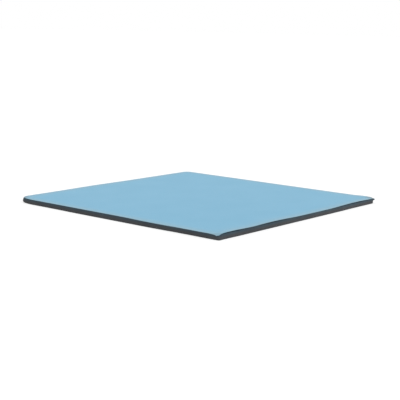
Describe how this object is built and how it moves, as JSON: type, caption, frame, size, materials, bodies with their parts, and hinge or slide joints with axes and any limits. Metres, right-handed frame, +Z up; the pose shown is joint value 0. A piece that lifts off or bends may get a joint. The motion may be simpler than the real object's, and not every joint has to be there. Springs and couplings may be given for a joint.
{
  "type": "thermal pad sheet",
  "caption": "Flat square sheet of soft dark grey silicone thermal pad with a thin light-blue protective film on its upper face.",
  "frame": {"origin": "centre of the slab's lower face, on the surface it lies on", "axes": "+Z up through the thickness, out of the film; +X and +Y along the sheet's sides, with the film's lifted edge on the +X side"},
  "size_m": [0.1002, 0.1002, 0.0024],
  "materials": {
    "silicone": "matte",
    "film": "satin"
  },
  "bodies": {
    "root": {"silicone_pad": "silicone", "liner_film": "film"}
  },
  "joints": []
}
